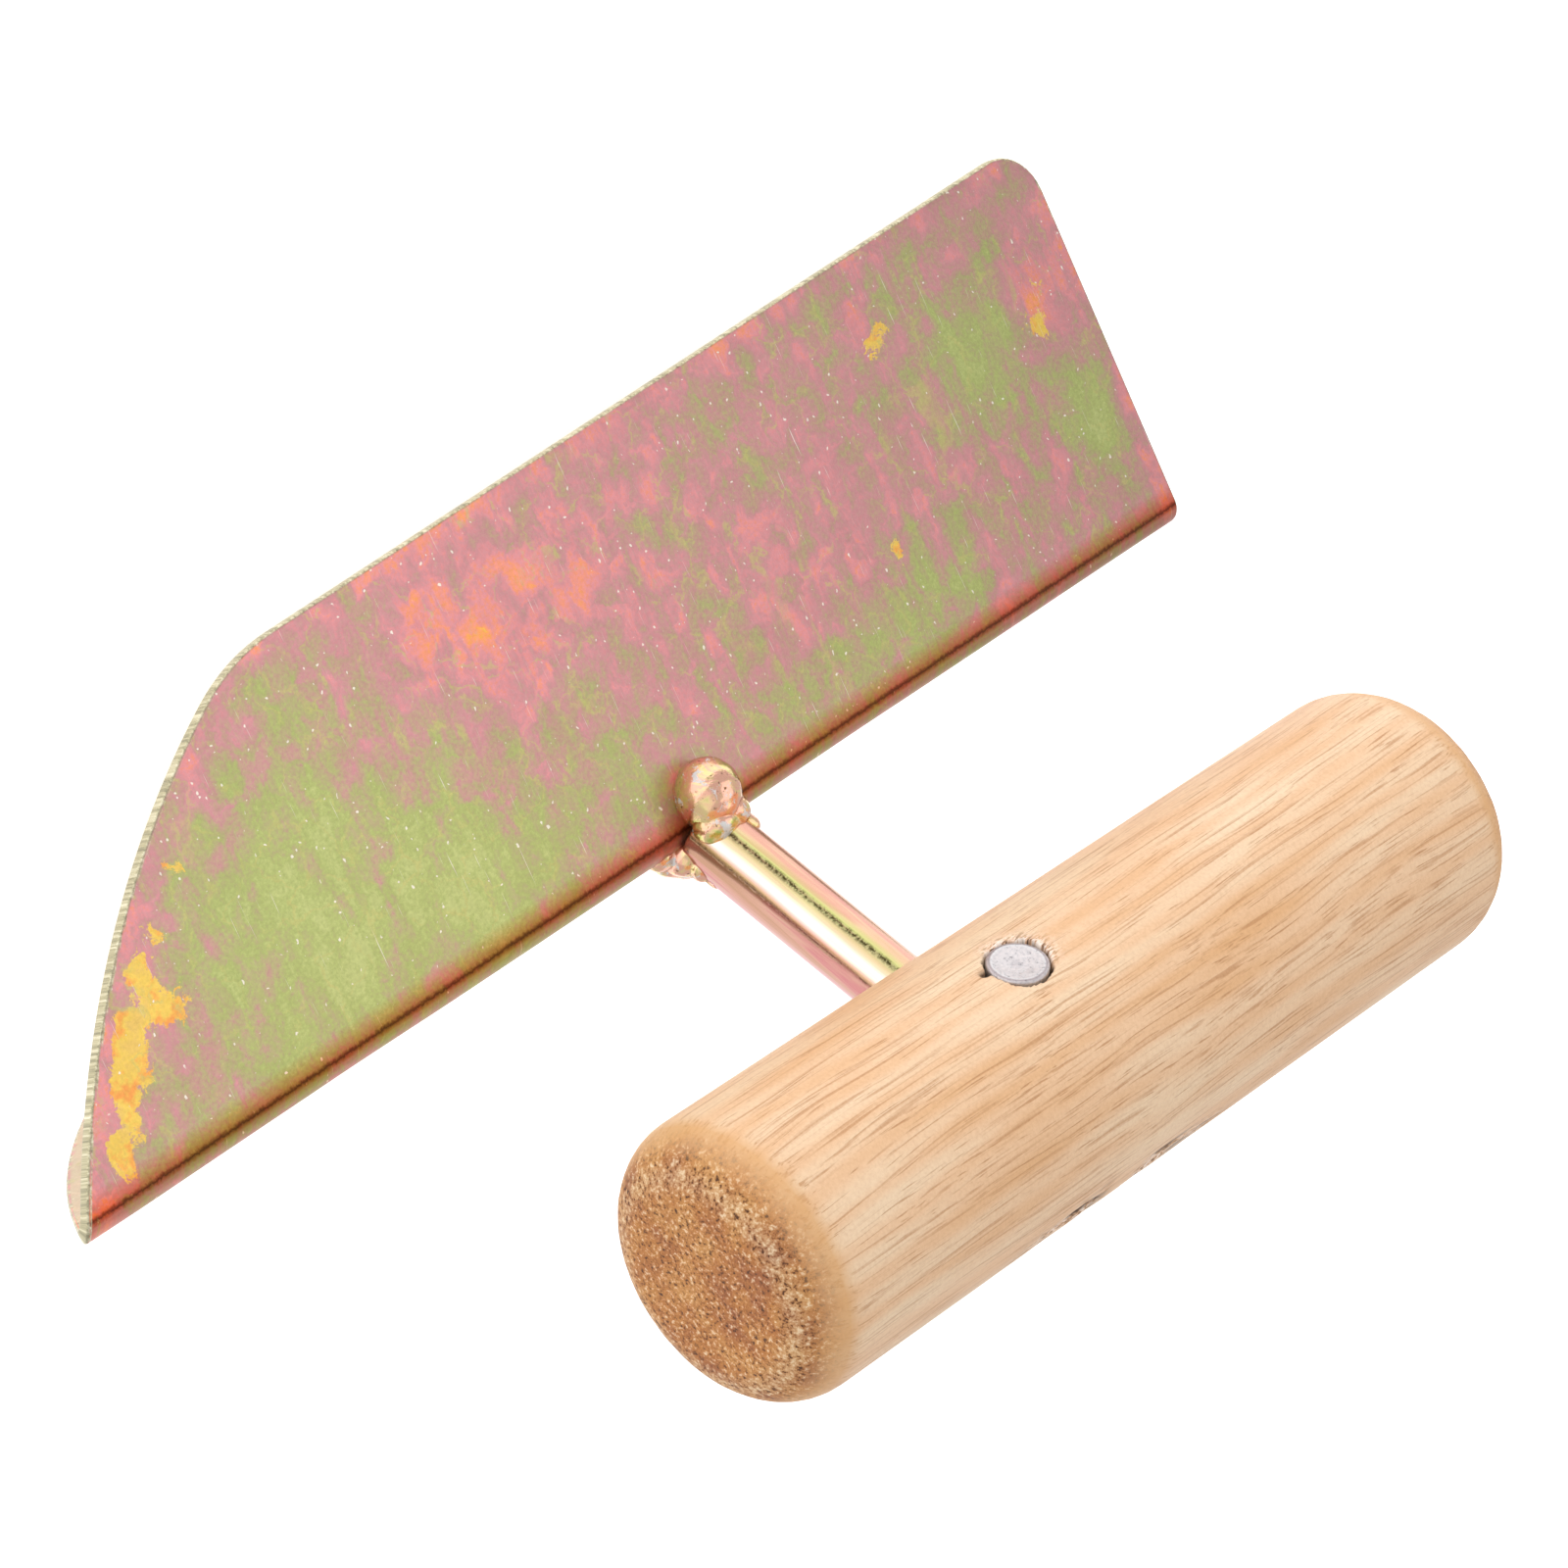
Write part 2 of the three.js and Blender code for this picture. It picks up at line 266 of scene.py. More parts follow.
def wing_edge(s):
    """The edge of one wing of the flat sheet from the heel's corner to the tip, as x, distance q
    from the fold's middle line, and the unit normal that points out of the sheet. It is a
    corner arc, the straight free edge, the shoulder arc, the nose arc and the tip arc, each
    tangent to the next."""
    reach = (s.bend - s.sheet / 2) * (math.pi / 2 - s.half_angle)
    slope = math.atan(s.taper)
    heel = BLADE_LOW[0] - BAR_X

    def free_edge(x):
        return reach + s.wing - s.taper * x

    turn = s.nose_start - math.pi / 2
    nose = np.array([s.nose - s.sweep * math.cos(turn), reach - s.sweep * math.sin(turn)])
    tip = np.array([nose[0] + math.sqrt((s.sweep - s.tip) ** 2 - nose[1] ** 2), 0])
    corner_x = heel + s.corner
    corner = np.array([corner_x, free_edge(corner_x) - s.corner / math.cos(slope)])

    places = np.linspace(0, s.nose, 20001)
    inward = free_edge(places) - s.shoulder / math.cos(slope)
    away = np.hypot(places - nose[0], inward - nose[1])
    at = int(np.argmin(np.abs(away - (s.sweep - s.shoulder))))
    shoulder = np.array([places[at], inward[at]])

    def turned(centre, radius, first, last, count):
        bearing = np.linspace(first, last, count)
        normal = np.stack([np.cos(bearing), np.sin(bearing)], axis=-1)
        return centre + radius * normal, normal

    upright = math.pi / 2 - slope
    tangency = math.atan2(*(shoulder - nose)[::-1])
    tip_turn = math.atan2(-nose[1], tip[0] - nose[0])
    arcs = [turned(corner, s.corner, math.pi, upright, 10),
            turned(shoulder, s.shoulder, upright, tangency, 14),
            turned(nose, s.sweep, tangency, tip_turn, 52),
            turned(tip, s.tip, tip_turn, 0, 8)]
    straight = np.linspace(arcs[0][0][-1], arcs[1][0][0], 92)[1:-1]
    level = np.broadcast_to(arcs[0][1][-1], straight.shape)
    points = np.concatenate([arcs[0][0], straight, arcs[1][0], arcs[2][0][1:], arcs[3][0][1:]])
    normals = np.concatenate([arcs[0][1], level, arcs[1][1], arcs[2][1][1:], arcs[3][1][1:]])
    points[-1, 1] = 0
    return points, normals


def folded(s, x, q, height):
    """Folds the flat sheet: a point at x, q and height above the mid surface lands on an arc of
    radius mid + height for the length of the bend, then runs straight down its wing."""
    mid = s.bend - s.sheet / 2
    half = math.pi / 2 - s.half_angle
    bearing = np.clip(q / mid, -half, half)
    along = np.sign(q) * np.maximum(np.abs(q) - mid * half, 0)
    radius = mid + height
    y = radius * np.sin(bearing) + along * math.sin(s.half_angle)
    z = FOLD_Z - s.bend + radius * np.cos(bearing) - np.abs(along) * math.cos(s.half_angle)
    return np.stack(np.broadcast_arrays(BAR_X + x, y, z), axis=-1)


def stained(stains, x, q):
    """Sum of the stains at flat places, each w (1 - r^2 / STAIN_END)^2, where r is the distance in
    reaches. The far wing takes the same stains moved along the fold."""
    moved = np.where(q < 0, 0.0, FAR_WING_SHIFT * MM)
    total = np.zeros(np.broadcast(x, q).shape)
    for cx, cq, rx, rq, weight in stains:
        r2 = ((x - cx * MM + moved) / (rx * MM)) ** 2 + ((np.abs(q) - cq * MM) / (rq * MM)) ** 2
        total += weight * np.maximum(1 - r2 / STAIN_END, 0) ** 2
    return total


def finish_marks(x, q, inside):
    """Film thickness shift, share of gold flakes and whether the place lies inside the V, whose
    film is paler because the bath hardly moved there."""
    return np.stack([stained(FILM_STAINS, x, q), stained(GOLD_STAINS, x, q),
                     np.full(np.shape(x), inside)], -1)


def blade_patches(s):
    """The outer face, the inner face and the rim. A face is x along, q across, with q crowded
    towards the fold as 0.35 v + 0.65 v^3; the rim carries a rounded square profile round the
    whole edge."""
    edge, normal = wing_edge(s)
    inner = edge - s.edge * normal
    v = np.linspace(-1, 1, 141)
    across = 0.35 * v + 0.65 * v ** 3
    x = np.repeat(inner[:, :1], len(v), axis=1)
    q = inner[:, 1:] * across
    gap = np.minimum((edge[:, 1:] - np.abs(q)) * np.maximum(normal[:, 1:], 0.05),
                     x - edge[0, 0])
    flat = np.stack([x, q, np.maximum(gap, 0)], axis=-1)
    calm = ramp(0, 8 * MM, gap)
    wave = s.waves * calm * (lumps(np.stack([x, 0.7 * q, 0 * x], -1), 31 * MM, 3)
                             + 0.5 * lumps(np.stack([x, q, 0 * x], -1), 13 * MM, 5))
    faces = [(folded(s, x, q, side * s.sheet / 2 + wave),
              {"flat": flat, "film": finish_marks(x, q, (1 - side) / 2)}) for side in (1, -1)]

    # once round the sheet: across the heel, up one wing's edge to the tip and back down the other
    mirror = np.array([1, -1])
    heel_q = edge[0, 1] * across
    loop = np.concatenate([np.stack([np.full_like(heel_q, edge[0, 0]), heel_q], -1),
                           edge, (edge * mirror)[::-1]])
    inset_heel = np.stack([np.full_like(heel_q, edge[0, 0] + s.edge), inner[0, 1] * across], -1)
    base = np.concatenate([inset_heel, inner, (inner * mirror)[::-1]])
    bearing = np.linspace(0, math.pi / 2, 5)
    outward = np.concatenate([np.sin(bearing), np.sin(bearing)[::-1]])
    heights = (s.sheet / 2 - s.edge) + s.edge * np.cos(bearing)
    heights = np.concatenate([heights, -heights[::-1]])
    place = base[:, None] + (loop - base)[:, None] * outward[None, :, None]
    rim = folded(s, place[..., 0], place[..., 1], np.broadcast_to(heights, place.shape[:2]))
    inset = np.broadcast_to(s.edge * (1 - outward[None, :, None]), place.shape[:2] + (1,))
    rim_flat = np.concatenate([place, inset], -1)
    faces.append((rim, {"flat": rim_flat, "film": finish_marks(place[..., 0], place[..., 1], 0.0)}))
    return faces


def chromated_sheet(s):
    """Cold-rolled mild steel, zinc plated and yellow passivated. The thin chromate film gives
    satin metal with pink, olive green and gold clouds that flow into each other in feathery
    flakes, hair-thin crackle, pale dust-like specks and a few bright scratches; the sheared edge
    stays pale. Along the fold lie a painted highlight as a pale ridge and a painted reflection
    as a brown line on each side."""
    material, add = new_material("zinc_plated_steel_yellow_chromate")
    flat = add("Attribute", attribute_name="flat")
    film = add("Attribute", attribute_name="film")
    marked_out = add("SeparateXYZ", {0: film.outputs["Vector"]})
    split = add("SeparateXYZ", {0: flat.outputs["Vector"]})
    mm = add("VectorMath", (flat.outputs["Vector"], (1000, 1000, 0)), operation="MULTIPLY")

    # clouds 19 mm wide, streams 4 by 13 mm that lean across the wing, flakes of 4 mm, fine grain
    clouds = add("TexNoise", {"Vector": mm, "Scale": 1 / 19, "Detail": 3.0, "Roughness": 0.55,
                 "Distortion": 0.6})
    lean = add("Mapping", {"Vector": mm, "Rotation": (0, 0, math.radians(14)),
               "Scale": (1 / 3.6, 1 / 13, 1)})
    streams = add("TexNoise", {"Vector": lean, "Scale": 1.0, "Detail": 5.0, "Roughness": 0.60,
                  "Distortion": 1.4})
    warp = add("TexNoise", {"Vector": mm, "Scale": 1 / 3, "Detail": 4.0, "Roughness": 0.6})
    pushed = add("VectorMath", (warp.outputs["Color"], (6, 6, 0), mm), operation="MULTIPLY_ADD")
    flakes = add("TexNoise", {"Vector": pushed, "Scale": 1 / 4.2, "Detail": 6.0, "Roughness": 0.66,
                 "Distortion": 0.5})
    fine = add("TexNoise", {"Vector": mm, "Scale": 1 / 0.5, "Detail": 3.0, "Roughness": 0.75})

    total = add("Math", (clouds, 0.50, -0.75), operation="MULTIPLY_ADD")
    for source, share in ((streams, 0.72), (flakes, 0.98), (fine, 0.36)):
        total = add("Math", (source, share, total), operation="MULTIPLY_ADD")
    shifted = add("Math", (marked_out.outputs[0], total), operation="ADD")
    # the film thins out over the last 4 mm before every edge
    rim = add("MapRange", {"Value": split.outputs[2], "From Min": 0.0006, "From Max": 0.0042,
              "To Min": -0.15, "To Max": 0.0}, interpolation_type="SMOOTHSTEP")
    thick = add("Math", (shifted, rim), operation="ADD")
    tint = add("ValToRGB", {"Fac": thick}, stops=[(0.00, s.yellow), (0.10, s.orange),
               (0.21, s.salmon), (0.33, s.pink), (0.46, s.mauve), (0.57, s.taupe), (0.68, s.olive),
               (0.82, s.green), (1.00, s.lime)])

    # gold flakes: warped noise cut off sharply where the share of gold is high
    goldness = add("Math", (flakes, 1.5, marked_out.outputs[1]), operation="MULTIPLY_ADD")
    goldness = add("Math", (fine, 0.25, goldness), operation="MULTIPLY_ADD")
    gilt = add("MapRange", {"Value": goldness, "From Min": 1.28, "From Max": 1.33})
    gold = add("ValToRGB", {"Fac": warp}, stops=[(0.38, s.orange), (0.50, s.yellow),
               (0.62, "#E9C36A")])
    tint = add("Mix", {0: gilt, 6: tint, 7: gold})
    paler = add("Math", (marked_out.outputs[2], 0.8), operation="MULTIPLY")
    tint = add("Mix", {0: paler, 6: tint, 7: "#CFC3A2"})

    # flake outlines, 0.2 mm to each side of where the warped cells meet; half of them fade out
    cells = add("TexVoronoi", {"Vector": pushed, "Scale": 1 / 5.5}, feature="DISTANCE_TO_EDGE")
    crack = add("MapRange", {"Value": cells.outputs["Distance"], "From Min": 0.008,
                "From Max": 0.04, "To Min": 0.55, "To Max": 0.0})
    fade = add("MapRange", {"Value": streams, "From Min": 0.46, "From Max": 0.58})
    outline = add("Math", (crack, fade), operation="MULTIPLY")
    outlined = add("Mix", {0: outline, 6: tint, 7: "#C6BE78"})

    # pale flecks up to 0.4 mm across, fewer large than small, and scratches 0.2 by 6 mm
    strewn = add("VectorMath", (warp.outputs["Color"], (1.4, 2.4, 0), mm), operation="MULTIPLY_ADD")
    dots = add("TexVoronoi", {"Vector": strewn, "Scale": 1 / 0.8})
    lot = add("SeparateColor", {0: dots.outputs["Color"]})
    sized = add("Math", (lot.outputs[0], 3.6), operation="POWER")
    radius = add("Math", (sized, 0.24), operation="MULTIPLY")
    inside = add("Math", (radius, dots.outputs["Distance"]), operation="SUBTRACT")
    speck = add("MapRange", {"Value": inside, "From Min": -0.02, "From Max": 0.06, "To Max": 0.85})
    line = add("Mapping", {"Vector": mm, "Rotation": (0, 0, math.radians(-24)),
               "Scale": (1 / 0.22, 1 / 6, 1)})
    lines = add("TexNoise", {"Vector": line, "Scale": 1.0, "Detail": 1.0, "Distortion": 0.3})
    scratch = add("MapRange", {"Value": lines, "From Min": 0.72, "From Max": 0.79, "To Max": 0.6})
    marks = add("Math", (speck, scratch), operation="MAXIMUM")
    marked = add("Mix", {0: marks, 6: outlined, 7: "#FBF3E4"})

    # across the fold, 4 mm each way: a painted highlight as a pale ridge, a painted reflection as a
    # brown line at 1.2 mm just inside the end of the bend, and a warm darker band that fades into
    # the wing
    distance = add("Math", (split.outputs[1],), operation="ABSOLUTE")
    ragged = add("Math", (fine, 0.0006, distance), operation="MULTIPLY_ADD")
    across = add("MapRange", {"Value": ragged, "From Min": 0.0003, "From Max": 0.0043})
    fold_highlight_and_dark_line = add("ValToRGB", {"Fac": across}, stops=[(0.00, "#F3E3C8"), (0.17, "#FFE6C4"),
                (0.24, "#E0A070"), (0.285, "#7A4A2A"), (0.32, "#A8683C"), (0.38, "#EBA67C"),
                (0.60, "#FBD6BC"), (0.92, "#FFFFFF")])
    fold = add("Mix", {0: 1.0, 6: marked, 7: fold_highlight_and_dark_line}, blend_type="MULTIPLY")
    grain = add("MapRange", {"Value": fine, "From Min": 0.3, "From Max": 0.7, "To Min": 0.88,
                "To Max": 1.06})
    # the colour darkens a little towards the heel
    duller = add("MapRange", {"Value": split.outputs[0], "From Min": -0.075, "From Max": 0.03,
                 "To Min": 0.82, "To Max": 1.0})
    grain = add("Math", (grain, duller), operation="MULTIPLY")
    fold = add("Mix", {0: 1.0, 6: fold, 7: grain}, blend_type="MULTIPLY")

    # the sheared edge: pale zinc with a grey grain
    bare = add("MapRange", {"Value": split.outputs[2], "From Min": 0.00018, "From Max": 0.00034,
               "To Min": 1.0, "To Max": 0.0})
    grit = add("ValToRGB", {"Fac": fine}, stops=[(0.30, "#7E7A68"), (0.50, "#BDB594"),
               (0.72, "#F1EBD2")])
    edged = add("Mix", {0: bare, 6: fold, 7: grit})

    rough = add("MapRange", {"Value": flakes, "From Min": 0.3, "From Max": 0.7, "To Min": 0.30,
                "To Max": 0.44})
    heights = add("Math", (fine, marks), operation="ADD")
    bump = add("Bump", {"Strength": 0.18, "Distance": 0.0002, "Height": heights})
    shader = add("BsdfPrincipled", {"Base Color": edged, "Metallic": 0.8, "Roughness": rough,
                 "Normal": bump})
    add("OutputMaterial", {"Surface": shader})
    return material


class VTOOL_OT_blade(bpy.types.Operator):
    """Build the folded blade: sheet, fold, sheared edges and chromate finish"""

    bl_idname = "vtool.blade"
    bl_label = "Blade"

    def execute(self, context):
        s = context.scene.vtool_blade
        piece("folded_blade", blade_patches(s), chromated_sheet(s), "blade")
        return {"FINISHED"}


# ---- bar -----------------------------------------------------------------------------------


class BarSettings(bpy.types.PropertyGroup):
    """Sizes and colours of the round bar."""

    chamfer: length(0.5, "Chamfer", "Rounding of the bar's ends")
    draw_marks: length(0.03, "Draw marks", "Height of the lengthwise marks left by drawing")
    pale: colour("#E8D8AE", "Pale", "Thin film on the bar")
    rose: colour("#D08E8C", "Rose", "Pink film on the bar")
    leaf: colour("#BABF74", "Leaf", "Green film on the bar")


def bar_patches(s):
    """A bar turned about its axis: radius R, rounded into flat ends, less lengthwise draw marks
    that depend on the bearing and only slowly on the height."""
    bearing = np.linspace(0, TAU, 97)
    turn = np.linspace(0, math.pi / 2, 6)
    low, high, c = BAR_LOW[2], BAR_HIGH[2], s.chamfer
    straight = np.linspace(low + c, high - c, 90)
    heights = np.concatenate([[low], low + c * (1 - np.cos(turn)), straight,
                              high - c * (1 - np.cos(turn[::-1])), [high]])
    radii = np.concatenate([[0], BAR_RADIUS - c * (1 - np.sin(turn)), 0 * straight + BAR_RADIUS,
                            BAR_RADIUS - c * (1 - np.sin(turn[::-1])), [0]])
    z, b = np.meshgrid(heights, bearing, indexing="ij")
    ring = np.stack([np.cos(b), np.sin(b), 0 * b], -1)
    marks = (lumps(ring * BAR_RADIUS + z[..., None] * (0, 0, 0.06), 0.7 * MM, 11)
             + lumps(ring * BAR_RADIUS + z[..., None] * (0, 0, 0.15), 2.1 * MM, 12))
    r = np.maximum(radii[:, None] - s.draw_marks * (1 + marks) * (radii[:, None] > 0), 0)
    sway = 0.012 * lumps(np.stack([3 * b, 0 * b, z / (9 * MM)], -1), 1.0, 13)
    return [(np.stack([BAR_X + r * np.cos(b), r * np.sin(b), z], -1),
             {"turn": (b / TAU + 0.5) % 1.0 + sway, "height": (z - low) / (high - low)})]


def chromated_bar(s):
    """Drawn mild steel bar in the same zinc and chromate. It is glossier than the sheet, with
    rose and pale gold stripes along it, a painted highlight as a near-white band and a painted
    reflection as a thin dark brown line beside it, and rows of dark green pits in the draw marks."""
    material, add = new_material("zinc_plated_drawn_bar_yellow_chromate")
    mm = object_mm(add)
    along = add("VectorMath", (mm, (1, 1, 0.05)), operation="MULTIPLY")
    # bands along the bar, by their place once round it: film colours, a painted highlight as the
    # near-white band and a painted reflection as the thin dark brown line beside it
    turn = add("Attribute", attribute_name="turn")
    bands = add("ValToRGB", {"Fac": turn.outputs["Fac"]}, stops=[(0.00, s.rose), (0.115, "#A87874"),
                (0.14, "#D89C96"), (0.25, "#D6A88E"), (0.285, "#B9BC6C"), (0.305, "#6E7038"),
                (0.325, "#C8C184"), (0.345, s.pale), (0.365, "#FFF8F0"), (0.392, "#FFF6F2"),
                (0.415, "#D0A07C"), (0.430, "#8C5C48"), (0.445, "#B87C78"), (0.50, "#B87478"),
                (0.60, "#B67A86"), (0.70, s.leaf), (0.85, s.pale)])
    stripes = add("TexNoise", {"Vector": along, "Scale": 1 / 1.6, "Detail": 4.0, "Roughness": 0.6,
                  "Distortion": 0.4})
    drift = add("ValToRGB", {"Fac": stripes}, stops=[(0.34, s.leaf), (0.46, s.pale), (0.54, s.rose),
                (0.70, s.pale)])
    tint = add("Mix", {0: 0.28, 6: bands, 7: drift})
    pits = add("TexNoise", {"Vector": mm, "Scale": 1 / 0.45, "Detail": 3.0, "Roughness": 0.7})
    # the pitted rows lie within half a millimetre of the brown and the green line
    rows = add("ValToRGB", {"Fac": turn.outputs["Fac"]}, stops=[(0.285, (0, 0, 0, 1)),
               (0.303, (1, 1, 1, 1)), (0.322, (0, 0, 0, 1)), (0.424, (0, 0, 0, 1)),
               (0.432, (0.7, 0.7, 0.7, 1)), (0.442, (0, 0, 0, 1))])
    pit = add("MapRange", {"Value": pits, "From Min": 0.46, "From Max": 0.56})
    depth = add("Math", (rows, pit), operation="MULTIPLY")
    mixed = add("Mix", {0: depth, 6: tint, 7: "#5E5A2C"}, blend_type="MULTIPLY")
    bump = add("Bump", {"Strength": 0.35, "Distance": 0.0002, "Height": depth}, invert=True)
    rough = add("MapRange", {"Value": depth, "To Min": 0.20, "To Max": 0.5})
    shader = add("BsdfPrincipled", {"Base Color": mixed, "Metallic": 0.92, "Roughness": rough,
                 "Normal": bump})
    add("OutputMaterial", {"Surface": shader})
    return material


class VTOOL_OT_bar(bpy.types.Operator):
    """Build the round bar between the fold and the handle"""

    bl_idname = "vtool.bar"
    bl_label = "Bar"

    def execute(self, context):
        s = context.scene.vtool_bar
        piece("round_bar", bar_patches(s), chromated_bar(s), "bar")
        return {"FINISHED"}


# ---- welds ---------------------------------------------------------------------------------


class WeldSettings(bpy.types.PropertyGroup):
    """Finish of the weld beads."""

    sink: length(0.7, "Sink", "How deep the weld metal may reach into the sheet")
    ripple: length(0.045, "Ripple", "Height of the solidification ripples")
    slag: colour("#DCDDDE", "Slag", "Grey white slag left on the bead")
    gold: colour("#EDD49A", "Gold", "Gold film on the weld")
    blush: colour("#F0B8A0", "Blush", "Salmon film on the weld")
    moss: colour("#B9C06A", "Moss", "Green film on the weld")


# The pools of molten metal that ran together, each its place from the foot of the bar and its
# radius in millimetres. The first is where the bead is seen from when its surface is worked out.
NEAR_POOLS = ((-0.55, -4.72, -1.35, 3.70), (0.3, -4.1, 0.2, 2.7), (0.9, -3.3, 2.2, 1.9),
              (-1.6, -3.3, 1.8, 2.0), (-2.5, -2.4, 3.8, 1.2), (1.9, -2.9, 1.6, 1.6))
FAR_POOLS = ((1.0, 3.7, -1.2, 3.1), (3.4, 2.8, -1.3, 2.4), (5.4, 1.7, -1.3, 1.7),
             (6.8, 0.9, -1.3, 1.1), (-1.8, 3.5, -1.0, 2.7), (3.3, 1.9, 0.9, 1.7),
             (2.6, 1.9, 2.9, 1.5), (2.2, 1.9, 4.8, 1.3))
# Over this length two pools flow into one another, and the ripples are this far apart over TAU,
# both in millimetres.
POOL_BLEND = 0.65
RIPPLE_STEP = 0.23


def weld_patches(s, blade, pools, seed):
    """The skin round a cluster of balls, seen from the first one: along each direction d the
    skin lies at the softened greatest of the balls' exit distances d.c + sqrt((d.c)^2 - c^2 + r^2),
    plus ripples, and is held above the middle of the sheet."""
    polar, b = np.meshgrid(np.linspace(0, math.pi, 97), np.linspace(0, TAU, 145), indexing="ij")
    way = np.stack([np.sin(polar) * np.cos(b), np.sin(polar) * np.sin(b), np.cos(polar)], -1)
    pools = np.array(pools) * MM
    eye = pools[0, :3]
    exits = []
    for ball in pools:
        centre = ball[:3] - eye
        forward = way @ centre
        inside = forward ** 2 - centre @ centre + ball[3] ** 2
        exits.append(np.where(inside > 0, forward + np.sqrt(np.maximum(inside, 0)), 0))
    soft = POOL_BLEND * MM
    reach = soft * np.log(np.sum(np.exp(np.array(exits) / soft), axis=0))
    skin = eye + reach[..., None] * way
    above_second = pools[1, :3] + (0, 0, 3 * MM)
    bands = np.sin(np.linalg.norm(skin - above_second, axis=-1) / (RIPPLE_STEP * MM))
    reach = reach + s.ripple * (0.5 * bands + 0.8 * lumps(skin, 2.4 * MM, seed)
                                + 0.35 * lumps(skin, 0.8 * MM, seed + 1))
    skin = eye + reach[..., None] * way

    side = np.sign(eye[1])
    out = np.array([0, side * math.cos(blade.half_angle), math.sin(blade.half_angle)])
    above = (skin - (0, 0, -blade.bend)) @ out - blade.bend
    skin = skin + np.maximum(-s.sink - above, 0)[..., None] * out
    skin = skin + (BAR_X, 0, FOLD_Z)
    return [(skin, {})]


def plated_weld(s):
    """Arc weld metal under the same zinc and chromate: shiny, lumpy and striped gold, salmon and
    green, with patches of rough grey white slag and dark pinholes."""
    material, add = new_material("zinc_plated_weld_metal")
    mm = object_mm(add)
    film = add("TexNoise", {"Vector": mm, "Scale": 1 / 3.2, "Detail": 4.0, "Roughness": 0.62,
               "Distortion": 0.9})
    tint = add("ValToRGB", {"Fac": film}, stops=[(0.30, s.moss), (0.40, s.gold), (0.50, s.blush),
               (0.60, s.blush), (0.70, s.gold)])
    crust = add("TexNoise", {"Vector": mm, "Scale": 1 / 1.9, "Detail": 5.0, "Roughness": 0.7,
                "Distortion": 0.5})
    slag = add("MapRange", {"Value": crust, "From Min": 0.57, "From Max": 0.63})
    mixed = add("Mix", {0: slag, 6: tint, 7: s.slag})
    holes = add("TexNoise", {"Vector": mm, "Scale": 1 / 0.55, "Detail": 3.0, "Roughness": 0.7})
    hole = add("MapRange", {"Value": holes, "From Min": 0.63, "From Max": 0.70})
    dark = add("Mix", {0: hole, 6: mixed, 7: "#6B6238"}, blend_type="MULTIPLY")
    rough = add("MapRange", {"Value": slag, "To Min": 0.13, "To Max": 0.42})
    metal = add("MapRange", {"Value": slag, "To Min": 0.92, "To Max": 0.45})
    heights = add("Math", (holes, crust), operation="SUBTRACT")
    bump = add("Bump", {"Strength": 0.11, "Distance": 0.0003, "Height": heights}, invert=True)
    shader = add("BsdfPrincipled", {"Base Color": dark, "Metallic": metal, "Roughness": rough,
                 "Normal": bump})
    add("OutputMaterial", {"Surface": shader})
    return material


class VTOOL_OT_welds(bpy.types.Operator):
    """Build the two weld beads at the foot of the bar"""

    bl_idname = "vtool.welds"
    bl_label = "Welds"

    def execute(self, context):
        s, blade = context.scene.vtool_weld, context.scene.vtool_blade
        finish = plated_weld(s)
        piece("weld_bead_near", weld_patches(s, blade, NEAR_POOLS, 21), finish,
              "weld_near")
        piece("weld_bead_far", weld_patches(s, blade, FAR_POOLS, 31), finish,
              "weld_far")
        return {"FINISHED"}


# ---- handle --------------------------------------------------------------------------------


class HandleSettings(bpy.types.PropertyGroup):
    """Sizes and colours of the turned handle."""

    radius: length(16, "Radius", "Radius of the handle")
    whole: length(116.5, "Length", "Length of the handle")
    rounding: length(7.1, "Rounding", "Rounding of the handle's ends")
    shift: length(-11.4, "Shift", "Middle of the handle, measured from the bar")
    rise: length(44.35, "Rise", "Height of the handle's axis above the fold at the bar")
    tilt: angle(2, "Tilt", "Lean of the nose-side end towards the blade")
    pin_lean: angle(13, "Pin lean", "Lean of the cross pin's head towards the blade")
    straw: colour("#F4D8B6", "Straw", "Pale early wood")
    honey: colour("#EFC69E", "Honey", "Warmer late wood")
    pores: colour("#B47A48", "Pores", "Pore lines along the grain")
    end_wood: colour("#CC8E50", "End wood", "End grain, darker because it drinks the finish")


def handle_axes(s):
    """Centre of the handle and its own directions: along the axis, towards the near side, up."""
    centre = np.array([BAR_X + s.shift * math.cos(s.tilt), 0,
                       FOLD_Z + s.rise - s.shift * math.sin(s.tilt)])
    along = np.array([math.cos(s.tilt), 0, -math.sin(s.tilt)])
    up = np.array([math.sin(s.tilt), 0, math.cos(s.tilt)])
    return centre, along, np.array([0.0, -1.0, 0.0]), up


# Radius of the bar's bore in the handle, and of the rim from which the fibres round the pin are
# torn.
BAR_BORE = 4.15 * MM
TORN_FROM = 3.6 * MM


